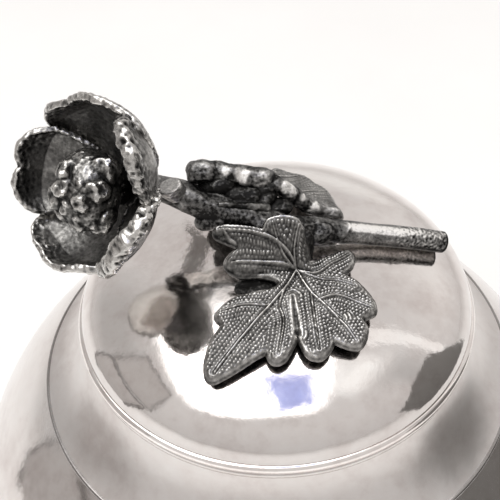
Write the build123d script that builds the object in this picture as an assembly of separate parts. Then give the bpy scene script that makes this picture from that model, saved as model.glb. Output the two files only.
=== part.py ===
from build123d import *
from math import cos, radians, sin, sqrt, tan
import os

# A covered sugar bowl with a flower sprig as the lid's handle. Millimetres, +Z up,
# origin at the centre of the circle that the foot stands on, the sprig's stem along X.

# ---- driving dimensions ----
lid_radius = 35.0  # outer edge of the lid's flange
lid_base = 104.0  # height of the flange's top, where the dome stands
dome_height = 13.65
sheet = 1.2  # thickness of the bowl's wall
lid_sheet = 0.9  # thickness of the dome's wall
belly_radius = 62.3
belly_height = 42.7  # height of the widest circle
belly_depth = 37.0  # from the widest circle down to the underside
belly_mid_angle = 23.0  # degrees above the widest circle, a middle point of the upper arc
shoulder_height = 88.0  # where the belly meets the shoulder line
rest_gap = 0.1  # between the lid's flange and the mouth rim

# ---- lid ----
flange_thickness = 1.8
flange_inner = 31.0
dome_radius = 34.3
collar_outer = 32.0
collar_depth = 6.5
collar_rounding = 0.3
dome_top = lid_base + dome_height
flange_bottom = lid_base - flange_thickness

# ---- mouth, neck and shoulder line ----
line_height = 0.9
line_radius = 42.95
line_inner = 41.2
mouth_top = flange_bottom - rest_gap
mouth_height = 1.7
mouth_inner = 32.4
mouth_outer = 34.6
neck_bottom = shoulder_height + line_height
neck_top = mouth_top - mouth_height
neck_foot_radius = 42.3
neck_waist = (37.0, 93.8)  # radius and height of the middle of the neck's hollow curve
neck_top_radius = 34.0

# ---- foot ----
foot_wire_inner = 30.0
foot_wire_outer = 33.0
foot_wire_height = 2.2
foot_foot_radius = 32.0
foot_waist = (29.0, 5.2)
foot_top_radius = 28.6
foot_top = 10.5
foot_wall = 1.4

# ---- the sprig's fixing through the dome ----
stud_radius = 1.5
stud_hole = 1.7
stud_top = 119.8
stud_bottom = 112.6
boss_radius = 2.6
boss_foot_radius = 3.4
boss_top = 122.6
boss_root = 1.0  # how far the boss's blank reaches below the dome's crown before it is cut to fit
washer_radius = 4.0
washer_thickness = 0.6
nut_flats = 5.5
nut_height = 2.4
snug = 0.05  # radial clearance of a threaded fit
crown_gap = 0.15  # between the dome's inner crown and the washer

# ---- stem and stalks ----
stem_radius = 1.85
stem_points = [
    (30.3, 4.1, 112.9),
    (24.5, 2.6, 116.0),
    (12.8, 1.2, 119.6),
    (-4.0, 0.2, 124.7),
    (-17.4, 4.0, 128.8),
    (-22.5, 4.9, 129.5),
]
bend_share = 0.45  # of the shorter run beside a bend, the length that its arc takes up
stalk_radius = 1.1
front_stalk = ((5.0, 0.5, 121.9), (4.1, -7.6, 119.4))
back_stalk = ((-4.0, 0.2, 124.7), (-2.2, 7.9, 125.8))

# ---- flower ----
flower_base = stem_points[-1]
flower_axis = (-0.63, -0.567, 0.53)  # the way the cup opens
flower_up = (0.0, 0.719, 0.695)
cup_arc_radius = 13.8  # radius of the arc that each petal's side view follows
cup_arc_centre = (1.5, 14.0)  # distance from the flower's axis, height over its base
petal_wall = 1.0
petal_step = 1.2  # from one layer of petals to the next one in
petal_spread = 82.0  # degrees round the flower
petal_foot_angle = -80.0
petal_rim_angle = -4.0
petal_tip = (4.5, 9.6, 9.2)  # height, half width and half height of a petal's rounding
petal_places = [
    ("flower_petal_top", -5.0, 0),
    ("flower_petal_left", 78.0, 2),
    ("flower_petal_bottom", 146.0, 0),
    ("flower_petal_lower_right", 216.0, 1),
    ("flower_petal_upper_right", 287.0, 2),
]
receptacle_foot = 2.35
receptacle_radius = 3.1
receptacle_drop = 2.6
receptacle_rise = 3.4
sepal_radius = 4.6
sepal_gap = 0.25
pistil_radius = 1.5
pistil_height = 9.0
stamen_rings = [(5.0, 7.4, 9), (2.9, 8.8, 6)]  # ring radius, height and count
stamen_foot = 2.2
stamen_gap = 0.5  # between the receptacle and a filament's end
stamen_twist = 3.0  # degrees for each millimetre of height, so that the rings don't line up
filament_radius = 0.45
anther_radius = 0.95

# ---- leaves ----
leaf_thickness = 1.3
front_leaf_joint = (4.0, -8.0)
front_leaf_sheet = [
    (-27.6, 114.6),
    (-20.0, 117.3),
    (-12.0, 119.8),
    (-7.6, 120.9),
    (-5.0, 124.0),
    (-2.4, 128.6),
]
front_leaf_lobes = [  # direction in degrees, length, half width
    (20, 9.8, 2.3),
    (-26, 12.9, 3.2),
    (-55, 15.4, 3.3),
    (-82, 15.1, 3.2),
    (-105, 16.2, 3.4),
    (-129, 22.6, 4.4),
    (-154, 15.4, 3.2),
    (174, 12.6, 2.4),
    (162, 14.6, 2.4),
    (128, 7.0, 3.2),
    (78, 4.4, 2.4),
]
back_leaf_joint = (-1.0, 6.9, 127.5)
back_leaf_along = (0.95, -0.05, -0.30)
back_leaf_normal = (0.24, 0.50, 0.83)
back_leaf_bend = [  # along the leaf and across its thickness, seen from the front
    (-16.0, 0.1),
    (-9.5, 0.7),
    (-5.3, 1.0),
    (0.0, 0.0),
    (3.2, -1.3),
    (7.4, -3.0),
    (10.5, -3.6),
    (16.0, -3.9),
]
back_leaf_lobes = [
    (8, 14.2, 2.3),
    (28, 13.0, 3.2),
    (62, 12.4, 3.4),
    (95, 14.0, 3.8),
    (130, 15.5, 3.8),
    (158, 15.5, 3.4),
    (184, 13.4, 2.6),
]
leaf_core_radius = 3.4


def turned(*edges):
    """A solid of revolution about Z, from edges drawn as (radius, height)."""
    return revolve(Plane.XZ * make_face(edges), Axis.Z)


def ring(inner, outer, bottom, top, rounding):
    """A flat ring whose outer edge is rounded."""
    straight = outer - rounding
    return turned(
        Polyline((straight, top), (inner, top), (inner, bottom), (straight, bottom)),
        ThreePointArc((straight, bottom), (outer, (bottom + top) / 2), (straight, top)),
    )


def rod(start, end, radius):
    """A straight round rod between two points."""
    run = Vector(*end) - Vector(*start)
    return Plane(origin=start, z_dir=run) * extrude(Circle(radius), run.length)


def on_arc(radius, height):
    """The radius, at that height, of an arc centred on the belly's widest circle."""
    return sqrt(radius**2 - (height - belly_height) ** 2)


def belly(inset):
    """The belly's filled shape, a stated distance inside its outer face."""
    radius = belly_radius - inset
    depth = belly_depth - inset
    middle = belly_height + radius * sin(radians(belly_mid_angle))
    shoulder = (on_arc(radius, shoulder_height), shoulder_height)
    return turned(
        EllipticalCenterArc((0, belly_height), radius, depth, 270, arc_size=90),
        ThreePointArc((radius, belly_height), (on_arc(radius, middle), middle), shoulder),
        Polyline(shoulder, (0, shoulder_height), (0, belly_height - depth)),
    )


def dome(inset):
    """The dome's filled shape, a stated distance inside its outer face. Its side view is half an ellipse."""
    radius = dome_radius - inset
    height = dome_height - inset
    return turned(
        EllipticalCenterArc((0, lid_base), radius, height, 0, arc_size=90),
        Polyline((0, lid_base + height), (0, lid_base), (radius, lid_base)),
    )


def neck():
    """The hollow-curved collar from the shoulder line up to the mouth."""
    waist_radius, waist_height = neck_waist
    outer = [(neck_foot_radius, neck_bottom), (waist_radius, waist_height), (neck_top_radius, neck_top)]
    inner = [(radius - sheet, height) for radius, height in outer]
    return turned(
        ThreePointArc(*outer),
        Line(outer[2], inner[2]),
        ThreePointArc(*inner),
        Line(inner[0], outer[0]),
    )


def foot():
    """The foot's spool, whose top edge follows the underside of the belly."""
    waist_radius, waist_height = foot_waist
    outer = [(foot_foot_radius, foot_wire_height), (waist_radius, waist_height), (foot_top_radius, foot_top)]
    inner = [(radius - foot_wall, height) for radius, height in outer]
    blank = turned(
        ThreePointArc(*outer),
        Line(outer[2], inner[2]),
        ThreePointArc(*inner),
        Line(inner[0], outer[0]),
    )
    return blank - belly(0)


def stem():
    """The cut branch that carries the flower, bent gently along its length."""
    corners = [Vector(*point) for point in stem_points]
    radii = []
    for before, corner, after in zip(corners, corners[1:], corners[2:]):
        turn = (corner - before).get_angle(after - corner)
        shorter = min((corner - before).length, (after - corner).length)
        radii.append(bend_share * shorter / tan(radians(turn / 2)))
    path = FilletPolyline(*corners, radius=radii)
    start = Plane(origin=path @ 0, z_dir=path % 0)
    return sweep(start * Circle(stem_radius), path)


def petal(layer):
    """One petal of the cup, over the flower's X axis, with a rounded tip. Layer 0 is outermost."""
    centre_radius, centre_height = cup_arc_centre
    outer = cup_arc_radius - layer * petal_step
    inner = outer - petal_wall

    def edge(radius, angle):
        return (centre_radius + radius * cos(radians(angle)), centre_height + radius * sin(radians(angle)))

    middle_angle = (petal_foot_angle + petal_rim_angle) / 2
    profile = make_face(
        [
            ThreePointArc(*[edge(outer, a) for a in (petal_foot_angle, middle_angle, petal_rim_angle)]),
            Line(edge(outer, petal_rim_angle), edge(inner, petal_rim_angle)),
            ThreePointArc(*[edge(inner, a) for a in (petal_rim_angle, middle_angle, petal_foot_angle)]),
            Line(edge(inner, petal_foot_angle), edge(outer, petal_foot_angle)),
        ]
    )
    shell = Rot(0, 0, -petal_spread / 2) * revolve(Plane.XZ * profile, Axis.Z, petal_spread)
    height, half_width, half_height = petal_tip
    tip = Plane.YZ * Pos(0, height) * Ellipse(half_width, half_height)
    return shell & extrude(tip, centre_radius + cup_arc_radius)


def receptacle():
    """The knob behind the petals that joins the cup to the stem, with a collar of sepals."""
    collar_top = -sepal_gap
    return turned(
        Polyline(
            (0, -receptacle_drop),
            (receptacle_foot, -receptacle_drop),
            (sepal_radius, collar_top),
            (receptacle_radius, collar_top),
            (receptacle_radius, receptacle_rise),
            (0, receptacle_rise),
            (0, -receptacle_drop),
        )
    )


def pistil():
    """The blunt stalk in the middle of the flower."""
    shaft = pistil_height - pistil_radius
    return Pos(0, 0, receptacle_rise) * turned(
        Polyline((pistil_radius, shaft), (pistil_radius, 0), (0, 0), (0, pistil_height)),
        ThreePointArc(
            (0, pistil_height),
            (pistil_radius * sin(radians(45)), shaft + pistil_radius * cos(radians(45))),
            (pistil_radius, shaft),
        ),
    )


def stamen(length):
    """A thin filament standing on the origin, with a round anther at its tip."""
    neck_height = length - sqrt(anther_radius**2 - filament_radius**2)
    return turned(
        Polyline((0, length + anther_radius), (0, 0), (filament_radius, 0), (filament_radius, neck_height)),
        ThreePointArc((filament_radius, neck_height), (anther_radius, length), (0, length + anther_radius)),
    )


def stamens():
    """The stamens, leaning outwards in rings about the pistil."""
    solids = []
    for ring_radius, height, count in stamen_rings:
        for index in range(count):
            reach = Vector(1, 0, 0).rotate(Axis.Z, 360 * index / count + stamen_twist * height)
            start = reach * stamen_foot + Vector(0, 0, receptacle_rise + stamen_gap)
            lean = reach * ring_radius + Vector(0, 0, height) - start
            solids.append(Plane(origin=start, z_dir=lean) * stamen(lean.length))
    return Compound(solids)


def lobed(lobes, core_radius):
    """A flat leaf: one long ellipse for each lobe, all meeting at the leaf's joint."""
    outline = Circle(core_radius)
    for direction, length, half_width in lobes:
        outline += Rot(0, 0, direction) * Pos(length / 2, 0) * Ellipse(length / 2, half_width)
    return outline


def strip(points, thickness):
    """The side view of a bent sheet: a smooth line through the points, and its copy below."""
    top = [Vector(*point) for point in points]
    below = []
    for index, point in enumerate(top):
        along = top[min(index + 1, len(top) - 1)] - top[max(index - 1, 0)]
        below.append(point + Vector(along.Y, -along.X).normalized() * thickness)
    return make_face(
        [Spline(*top), Line(top[-1], below[-1]), Spline(*reversed(below)), Line(below[0], top[0])]
    )


def front_leaf():
    """The leaf that lies down over the front of the dome, its back lobes standing up to the stem."""
    tall = Pos(*front_leaf_joint, lid_base) * extrude(lobed(front_leaf_lobes, leaf_core_radius), lid_radius)
    wide = extrude(Plane.YZ * strip(front_leaf_sheet, leaf_thickness), lid_radius, both=True)
    return tall & wide


def back_leaf():
    """The leaf behind the stem, tilted down to the back and bent along its length."""
    place = Plane(origin=back_leaf_joint, x_dir=back_leaf_along, z_dir=back_leaf_normal)
    tall = extrude(lobed(back_leaf_lobes, leaf_core_radius), lid_radius, both=True)
    wide = extrude(Plane.XZ * strip(back_leaf_bend, leaf_thickness), lid_radius, both=True)
    return place * (tall & wide)


def nut():
    """The six-sided nut under the dome."""
    blank = extrude(RegularPolygon(nut_flats / 2, 6, major_radius=False), nut_height)
    return Pos(0, 0, nut_top - nut_height) * (blank - Cylinder(stud_radius + snug, 3 * nut_height))


washer_top = dome_top - lid_sheet - crown_gap
nut_top = washer_top - washer_thickness
stud_length = stud_top - stud_bottom
stud = Pos(0, 0, stud_bottom) * extrude(Circle(stud_radius), stud_length)
stud_clearance = Pos(0, 0, stud_bottom) * extrude(Circle(stud_hole), stud_length)
boss_bore = Pos(0, 0, stud_bottom) * extrude(Circle(stud_radius + snug), stud_length + snug)
boss_bottom = dome_top - boss_root
boss_blank = turned(
    Polyline(
        (0, boss_bottom),
        (boss_foot_radius, boss_bottom),
        (boss_radius, boss_top),
        (0, boss_top),
        (0, boss_bottom),
    )
)
washer = Pos(0, 0, nut_top) * extrude(Circle(washer_radius) - Circle(stud_hole), washer_thickness)

flower = Plane(origin=flower_base, x_dir=flower_up, z_dir=flower_axis)
stem_solid = stem()
front_leaf_solid = front_leaf()
back_leaf_solid = back_leaf()

parts = {
    "bowl_body": belly(0) - belly(sheet),
    "shoulder_line": ring(line_inner, line_radius, shoulder_height, neck_bottom, line_height / 2),
    "neck": neck(),
    "mouth_rim": ring(mouth_inner, mouth_outer, neck_top, mouth_top, mouth_height / 2),
    "foot": foot(),
    "foot_wire": ring(foot_wire_inner, foot_wire_outer, 0, foot_wire_height, foot_wire_height / 2),
    "lid_locating_collar": ring(
        flange_inner, collar_outer, flange_bottom - collar_depth, flange_bottom, collar_rounding
    ),
    "lid_flange": ring(flange_inner, lid_radius, flange_bottom, lid_base, flange_thickness / 2),
    "lid_dome": dome(0) - dome(lid_sheet) - stud_clearance,
    "finial_boss": boss_blank - dome(0) - boss_bore - stem_solid,
    "finial_stud": stud,
    "finial_washer": washer,
    "finial_nut": nut(),
    "stem": stem_solid,
    "front_leaf": front_leaf_solid,
    "front_leaf_stalk": rod(*front_stalk, stalk_radius) - stem_solid - front_leaf_solid,
    "back_leaf": back_leaf_solid,
    "back_leaf_stalk": rod(*back_stalk, stalk_radius) - stem_solid - back_leaf_solid,
    "flower_receptacle": flower * receptacle() - stem_solid,
    "flower_pistil": flower * pistil(),
    "flower_stamens": flower * stamens(),
}
for name, turn, layer in petal_places:
    parts[name] = flower * (Rot(0, 0, turn) * petal(layer))

os.makedirs("parts", exist_ok=True)
for name, shape in parts.items():
    export_step(shape, f"parts/{name}.step")
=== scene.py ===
from math import acos, asin, atan2, cos, pi, radians, sin, sqrt

import bpy
import numpy as np
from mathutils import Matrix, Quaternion, Vector, noise


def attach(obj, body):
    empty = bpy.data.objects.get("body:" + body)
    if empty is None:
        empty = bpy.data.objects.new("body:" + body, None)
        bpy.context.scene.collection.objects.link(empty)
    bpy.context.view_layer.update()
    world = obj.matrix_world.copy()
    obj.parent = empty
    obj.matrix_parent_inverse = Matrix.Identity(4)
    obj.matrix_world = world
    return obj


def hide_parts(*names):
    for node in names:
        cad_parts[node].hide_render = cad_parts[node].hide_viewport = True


# A covered silver sugar bowl. The sprig on its lid is cast, hammered and oxidised.
# Shapes are written in millimetres and scaled to metres when their mesh is made.

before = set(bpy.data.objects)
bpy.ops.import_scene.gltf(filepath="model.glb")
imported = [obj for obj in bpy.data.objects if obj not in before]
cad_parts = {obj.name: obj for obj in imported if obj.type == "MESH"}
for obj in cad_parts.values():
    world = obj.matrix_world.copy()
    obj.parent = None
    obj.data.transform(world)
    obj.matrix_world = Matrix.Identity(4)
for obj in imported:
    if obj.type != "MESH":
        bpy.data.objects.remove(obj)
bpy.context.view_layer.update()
scene = bpy.context.scene
MM = 0.001
SMOOTHING = 0.7  # share of the way to its neighbours' mean that a vertex moves in a round
RELIEF_LIMIT = 0.11  # millimetres; the relief levels off towards this
UPWARD_RUB_AND_LIGHT = 0.022  # how much brighter a face that looks straight up is, as rubbing and as painted light from above, in the same millimetres


# ---------------------------------------------------------------- meshes


def new_piece(name, verts, faces, sharp=40):
    """A mesh object from points in millimetres. Edges sharper than `sharp` degrees stay crisp."""
    mesh = bpy.data.meshes.new(name)
    mesh.from_pydata((np.asarray(verts, float) * MM).tolist(), [], faces)
    mesh.shade_smooth()
    mesh.set_sharp_from_angle(angle=radians(sharp))
    piece = bpy.data.objects.new(name, mesh)
    scene.collection.objects.link(piece)
    return piece


def points_of(piece):
    """The piece's vertices in millimetres."""
    co = np.empty(len(piece.data.vertices) * 3)
    piece.data.vertices.foreach_get("co", co)
    return co.reshape(-1, 3) / MM


def normals_of(piece):
    found = np.empty(len(piece.data.vertices) * 3)
    piece.data.vertices.foreach_get("normal", found)
    return found.reshape(-1, 3)


def edges_of(piece):
    """The two vertex numbers of each edge."""
    pairs = np.empty(len(piece.data.edges) * 2, np.int64)
    piece.data.edges.foreach_get("vertices", pairs)
    return pairs.reshape(-1, 2)


def set_points(piece, points):
    piece.data.vertices.foreach_set("co", (points * MM).astype(np.float32).ravel())
    piece.data.update()


def push(piece, amount):
    """Moves each vertex along its normal by an amount in millimetres."""
    set_points(piece, points_of(piece) + normals_of(piece) * amount[:, None])


def smoothed(piece, points, rounds):
    """The points after that many rounds of moving most of the way to the mean of their neighbours."""
    pairs = edges_of(piece)
    ends = np.concatenate([pairs[:, 0], pairs[:, 1]])
    others = np.concatenate([pairs[:, 1], pairs[:, 0]])
    count = np.maximum(np.bincount(ends, minlength=len(points)), 1)
    for _ in range(rounds):
        total = [np.bincount(ends, weights=points[others, k], minlength=len(points)) for k in range(3)]
        points = (1 - SMOOTHING) * points + SMOOTHING * np.stack(total, 1) / count[:, None]
    return points


def store_relief(piece, radius=0.35, bias=0.0):
    """Stores how far each vertex stands out from its surroundings within `radius`, for the materials.
    Faces that look up get brighter, as rubbing and as painted light from above, and `bias` is added
    everywhere or vertex by vertex."""
    points = points_of(piece)
    ends = points[edges_of(piece)]
    spacing = np.median(np.linalg.norm(ends[:, 0] - ends[:, 1], axis=1))
    rounds = max(int((radius / spacing) ** 2 / SMOOTHING), 2)
    facing = normals_of(piece)
    out = ((points - smoothed(piece, points, rounds)) * facing).sum(1)
    out = RELIEF_LIMIT * np.tanh(out / RELIEF_LIMIT) + UPWARD_RUB_AND_LIGHT * facing[:, 2] + bias
    layer = piece.data.attributes.new("relief", "FLOAT", "POINT")
    layer.data.foreach_set("value", out.astype(np.float32))


def hammered(points, cell, seed):
    """0 at the middle of a hammer mark, about 1 on the ridges between marks."""
    offset = Vector((seed, 1.7 * seed, -seed))
    return np.array([min(noise.voronoi(Vector(p) / cell + offset)[0][0] * 1.5, 1.0) ** 2 for p in points])


def lumpy(points, cell, seed):
    """Smooth noise between about -1 and 1."""
    offset = Vector((seed, -seed, 2.3 * seed))
    return np.array([noise.noise(Vector(p) / cell + offset) for p in points])


def smoothstep(low, high, value):
    t = np.clip((value - low) / (high - low), 0, 1)
    return t * t * (3 - 2 * t)


def curve_through(points, count):
    """A Catmull-Rom curve through rows of numbers, sampled evenly by length in its first three columns."""
    rows = np.array(points, float)
    padded = np.concatenate([2 * rows[:1] - rows[1:2], rows, 2 * rows[-1:] - rows[-2:-1]])
    t = np.linspace(0, 1, 24, endpoint=False)[:, None]
    pieces = []
    for a, b, c, d in zip(padded, padded[1:], padded[2:], padded[3:]):
        pieces.append(
            0.5 * (2 * b + (c - a) * t + (2 * a - 5 * b + 4 * c - d) * t**2 + (3 * b - a - 3 * c + d) * t**3)
        )
    fine = np.concatenate([*pieces, padded[-2:-1]])
    run = np.concatenate([[0], np.cumsum(np.linalg.norm(np.diff(fine[:, :3], axis=0), axis=1))])
    want = np.linspace(0, run[-1], count)
    return np.stack([np.interp(want, run, column) for column in fine.T], 1)


def lathe(profile, segments=288):
    """A profile of (radius, height) turned about Z.
    A profile that starts and ends on the axis closes there; any other is a closed loop."""
    verts, rows = [], []
    for radius, height in profile:
        if radius < 1e-6:
            rows.append([len(verts)] * segments)
            verts.append((0, 0, height))
        else:
            rows.append(list(range(len(verts), len(verts) + segments)))
            for k in range(segments):
                angle = 2 * pi * k / segments
                verts.append((radius * cos(angle), radius * sin(angle), height))
    on_axis = profile[0][0] < 1e-6
    pairs = list(zip(rows, rows[1:])) if on_axis else list(zip(rows, rows[1:] + rows[:1]))
    faces = []
    for low, high in pairs:
        for k in range(segments):
            n = (k + 1) % segments
            corners = [low[k], low[n], high[n], high[k]]
            faces.append(list(dict.fromkeys(corners)))
    return np.array(verts), faces


def arc3(start, middle, end, count):
    """Points on the circle through three points, as (radius, height)."""
    (ax, ay), (bx, by), (cx, cy) = start, middle, end
    d = 2 * (ax * (by - cy) + bx * (cy - ay) + cx * (ay - by))
    ux = ((ax**2 + ay**2) * (by - cy) + (bx**2 + by**2) * (cy - ay) + (cx**2 + cy**2) * (ay - by)) / d
    uy = ((ax**2 + ay**2) * (cx - bx) + (bx**2 + by**2) * (ax - cx) + (cx**2 + cy**2) * (bx - ax)) / d
    first = atan2(ay - uy, ax - ux)
    mid = (atan2(by - uy, bx - ux) - first) % (2 * pi)
    last = (atan2(cy - uy, cx - ux) - first) % (2 * pi)
    if mid > last:
        last -= 2 * pi
    radius = sqrt((ax - ux) ** 2 + (ay - uy) ** 2)
    angles = [first + last * k / (count - 1) for k in range(count)]
    return [(ux + radius * cos(a), uy + radius * sin(a)) for a in angles]


def bead(inner, outer, bottom, top, rounding, count=14):
    """The section of a flat ring whose outer edge is rounded."""
    middle = (bottom + top) / 2
    straight = outer - rounding
    edge = arc3((straight, bottom), (outer, middle), (straight, top), count)
    return [(inner, bottom), *edge, (inner, top)]


def shell(mid, normal, half, rings, squareness):
    """A closed sheet round a grid of points, with its own half thickness at each point. Its edge has that
    many rings of faces, round at a squareness of 1 and squarer below it."""
    n, m = half.shape
    front = (mid + normal * half[..., None]).reshape(-1, 3)
    back = (mid - normal * half[..., None]).reshape(-1, 3)
    index = np.arange(n * m).reshape(n, m)
    quads = np.stack([index[:-1, :-1], index[1:, :-1], index[1:, 1:], index[:-1, 1:]], -1).reshape(-1, 4)
    faces = [quads, quads[:, ::-1] + n * m]
    loop = np.concatenate([index[0, :], index[1:, -1], index[-1, -2::-1], index[-2:0:-1, 0]])
    i, j = np.unravel_index(loop, (n, m))
    out = mid[i, j] - mid[np.clip(i, 1, n - 2), np.clip(j, 1, m - 2)]
    facing = normal[i, j]
    out -= facing * (out * facing).sum(1)[:, None]
    out /= np.maximum(np.linalg.norm(out, axis=1), 1e-9)[:, None]
    verts, before = [front, back], loop
    reach = half[i, j][:, None]
    for k in range(1, rings + 1):
        if k < rings:
            angle = pi * k / rings
            c, s = cos(angle), sin(angle)
            across = np.sign(c) * abs(c) ** squareness
            ring = mid[i, j] + facing * reach * across + out * reach * 0.8 * s**squareness
            now = np.arange(len(loop)) + sum(len(v) for v in verts)
            verts.append(ring)
        else:
            now = loop + n * m
        nxt = np.roll(np.arange(len(loop)), -1)
        faces.append(np.stack([before, before[nxt], now[nxt], now], -1))
        before = now
    return np.concatenate(verts), np.concatenate(faces).tolist()


def tube(path, radii, sides):
    """A closed tube with round ends along a path of points."""
    path = np.asarray(path, float)
    radii = np.asarray(radii, float)
    run = np.gradient(path, axis=0)
    run /= np.linalg.norm(run, axis=1)[:, None]
    caps = [0.15, 0.5, 0.8, 0.95]  # widths of the rings that round off an end, as shares of the tube's
    first = [path[0] - run[0] * radii[0] * 0.9 * sqrt(1 - c * c) for c in caps]
    last = [path[-1] + run[-1] * radii[-1] * 0.9 * sqrt(1 - c * c) for c in reversed(caps)]
    centres = np.concatenate([first, path, last])
    widths = np.concatenate([[radii[0] * c for c in caps], radii, [radii[-1] * c for c in reversed(caps)]])
    runs = np.concatenate([[run[0]] * len(caps), run, [run[-1]] * len(caps)])
    side = Vector(runs[0]).orthogonal().normalized()
    verts, faces = [], []
    for centre, width, direction in zip(centres, widths, runs):
        direction = Vector(direction)
        side = (side - direction * side.dot(direction)).normalized()
        other = direction.cross(side)
        for k in range(sides):
            a = 2 * pi * k / sides
            verts.append(np.array(centre) + width * np.array(side * cos(a) + other * sin(a)))
    for r in range(len(centres) - 1):
        for k in range(sides):
            n = (k + 1) % sides
            faces.append([r * sides + k, r * sides + n, (r + 1) * sides + n, (r + 1) * sides + k])
    faces.append(list(range(sides))[::-1])
    faces.append([(len(centres) - 1) * sides + k for k in range(sides)])
    return np.array(verts), faces


def ball(centre, radii, turn=0.0, rows=14, sides=20):
    """A closed egg shape, turned about Y."""
    verts, faces = [(0, 0, -1)], []
    for r in range(1, rows):
        a = pi * r / rows
        for k in range(sides):
            b = 2 * pi * k / sides
            verts.append((sin(a) * cos(b), sin(a) * sin(b), -cos(a)))
    verts.append((0, 0, 1))
    for k in range(sides):
        n = (k + 1) % sides
        faces.append([0, 1 + n, 1 + k])
        for r in range(rows - 2):
            low, high = 1 + r * sides, 1 + (r + 1) * sides
            faces.append([low + k, low + n, high + n, high + k])
        top = 1 + (rows - 2) * sides
        faces.append([top + k, top + n, len(verts) - 1])
    verts = np.array(verts, float) * np.array(radii)
    c, s = cos(turn), sin(turn)
    verts = verts @ np.array([[c, 0, -s], [0, 1, 0], [s, 0, c]])
    return verts + np.array(centre), faces


def fused(name, shapes, voxel, rounds):
    """A piece with one closed skin round several (points, faces), smoothed."""
    verts, faces, start = [], [], 0
    for points, polygons in shapes:
        verts.append(points)
        faces.extend([[i + start for i in polygon] for polygon in polygons])
        start += len(points)
    piece = new_piece(name, np.concatenate(verts), faces)
    modifier = piece.modifiers.new("skin", "REMESH")
    modifier.mode = "VOXEL"
    modifier.voxel_size = voxel * MM
    bpy.context.view_layer.update()
    mesh = bpy.data.meshes.new_from_object(piece.evaluated_get(bpy.context.evaluated_depsgraph_get()))
    piece.modifiers.clear()
    piece.data = mesh
    set_points(piece, smoothed(piece, points_of(piece), rounds))
    mesh.shade_smooth()
    return piece


# ---------------------------------------------------------------- materials


class Nodes:
    """Short calls for building a node tree."""

    def __init__(self, name):
        self.material = bpy.data.materials.new(name)
        self.material.use_nodes = True
        self.tree = self.material.node_tree
        self.tree.nodes.clear()
        self.shader = self.add("ShaderNodeBsdfPrincipled")
        output = self.add("ShaderNodeOutputMaterial")
        self.link(self.shader.outputs[0], output.inputs["Surface"])
        self.place = self.add("ShaderNodeTexCoord").outputs["Object"]

    def add(self, kind, **settings):
        node = self.tree.nodes.new(kind)
        for key, value in settings.items():
            setattr(node, key, value)
        return node

    def link(self, source, target):
        self.tree.links.new(source, target)

    def put(self, socket, value):
        if hasattr(value, "is_linked"):
            self.link(value, socket)
        else:
            socket.default_value = value

    def noise(self, size, detail, rough=0.5, squeeze=None):
        """Noise whose features are about `size` millimetres across, `squeeze` times as close on each axis."""
        node = self.add("ShaderNodeTexNoise")
        node.inputs["Scale"].default_value = 1 / (size * MM)
        node.inputs["Detail"].default_value = detail
        node.inputs["Roughness"].default_value = rough
        place = self.place
        if squeeze:
            mapping = self.add("ShaderNodeMapping")
            mapping.inputs["Scale"].default_value = squeeze
            mapping.inputs["Rotation"].default_value = (0.4, 0.7, 1.1)
            self.link(place, mapping.inputs["Vector"])
            place = mapping.outputs[0]
        self.link(place, node.inputs["Vector"])
        return node.outputs["Fac"]

    def math(self, operation, a, b=0.0, clamp=False):
        node = self.add("ShaderNodeMath", operation=operation, use_clamp=clamp)
        self.put(node.inputs[0], a)
        self.put(node.inputs[1], b)
        return node.outputs[0]

    def ramp(self, value, stops):
        """A colour or grey ramp from (position, colour) rows."""
        node = self.add("ShaderNodeValToRGB")
        elements = node.color_ramp.elements
        while len(elements) < len(stops):
            elements.new(0.5)
        for element, (position, colour) in zip(elements, stops):
            element.position = position
            element.color = (*colour, 1) if isinstance(colour, tuple) else (colour, colour, colour, 1)
        self.link(value, node.inputs[0])
        return node.outputs["Color"]

    def spread(self, value, low, high, new_low, new_high):
        """The value's range low to high mapped onto new_low to new_high, and held there outside it."""
        node = self.add("ShaderNodeMapRange")
        self.link(value, node.inputs["Value"])
        for key, number in zip(("From Min", "From Max", "To Min", "To Max"), (low, high, new_low, new_high)):
            node.inputs[key].default_value = number
        return node.outputs["Result"]

    def relief(self):
        return self.add("ShaderNodeAttribute", attribute_name="relief").outputs["Fac"]

    def metal(self, colour, roughness):
        """Bare metal of that colour and roughness."""
        self.link(colour, self.shader.inputs["Base Color"])
        self.shader.inputs["Metallic"].default_value = 1.0
        self.link(roughness, self.shader.inputs["Roughness"])

    def bump(self, layers):
        """Bumps from (height, strength, depth in millimetres) rows."""
        normal = None
        for height, strength, depth in layers:
            node = self.add("ShaderNodeBump")
            node.inputs["Strength"].default_value = strength
            node.inputs["Distance"].default_value = depth * MM
            self.link(height, node.inputs["Height"])
            if normal is not None:
                self.link(normal, node.inputs["Normal"])
            normal = node.outputs[0]
        self.link(normal, self.shader.inputs["Normal"])


OXIDE = (0.018, 0.0175, 0.017)


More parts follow.
